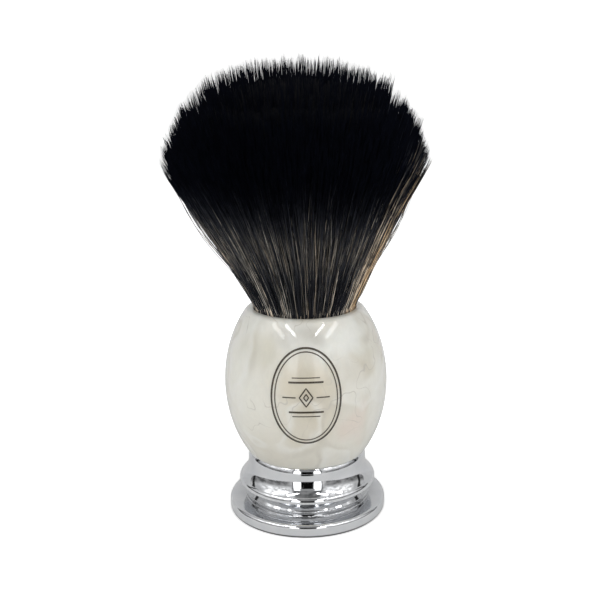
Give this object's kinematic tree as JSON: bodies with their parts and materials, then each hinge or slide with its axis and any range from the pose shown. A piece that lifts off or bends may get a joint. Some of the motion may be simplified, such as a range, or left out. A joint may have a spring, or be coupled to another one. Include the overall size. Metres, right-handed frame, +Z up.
{
  "type": "shaving brush",
  "caption": "Free-standing shaving brush: fanned synthetic-fibre knot in a barrel-shaped pearl resin handle that screws onto a stepped chrome base.",
  "frame": {"origin": "centre of the underside of the base, on the brush's axis", "axes": "+Z up along the brush's axis towards the bristle tips; the printed mark on the handle faces -Y; +X to the viewer's right"},
  "size_m": [0.0588, 0.0588, 0.1068],
  "materials": {
    "base_chrome": "mirror chrome plating",
    "stud_steel": "zinc-plated turned steel",
    "nut_steel": "zinc-plated steel",
    "pad_rubber": "matt black non-slip rubber",
    "seal_rubber": "matt dark rubber",
    "handle_resin": "polished pearl off-white resin with soft marbling",
    "insert_brass": "turned and knurled brass",
    "adhesive": "cured clear epoxy, slightly yellow",
    "plug_resin": "cast dark resin",
    "fibre_root": "tightly bundled near-black synthetic fibre",
    "cord": "waxed cotton cord",
    "fibre_tuft": "near-black synthetic fibre with paler grey-brown shafts"
  },
  "bodies": {
    "base": {"foot_flange": "base_chrome", "collar_cup": "base_chrome", "base_stud": "stud_steel", "lock_washer": "stud_steel", "lock_nut": "nut_steel", "foot_pad": "pad_rubber"},
    "seal": {"seal_ring": "seal_rubber"},
    "handle": {"resin_handle": "handle_resin", "threaded_insert": "insert_brass", "socket_adhesive": "adhesive", "knot_plug": "plug_resin", "bristle_root": "fibre_root", "binding_cord": "cord"},
    "tuft": {"bristle_tuft": "fibre_tuft"}
  },
  "joints": [
    {"name": "handle_rise", "type": "slide", "parent": "base", "child": "seal", "axis": [0, 0, 1], "range_m": [0, 0.00801]},
    {"name": "handle_turn", "type": "hinge", "parent": "seal", "child": "handle", "pos_m": [0, 0, 0.008], "axis": [0, 0, 1], "range_deg": [0, 2880]},
    {"name": "tuft_bend", "type": "hinge", "parent": "handle", "child": "tuft", "pos_m": [0, 0, 0.05], "axis": [0, 1, 0], "range_deg": [-20, 20], "stiffness_Nm_per_rad": 0.13}
  ],
  "couplings": [
    {"joint": "handle_rise", "follows": "handle_turn", "m_per_rad": 0.00015915}
  ]
}
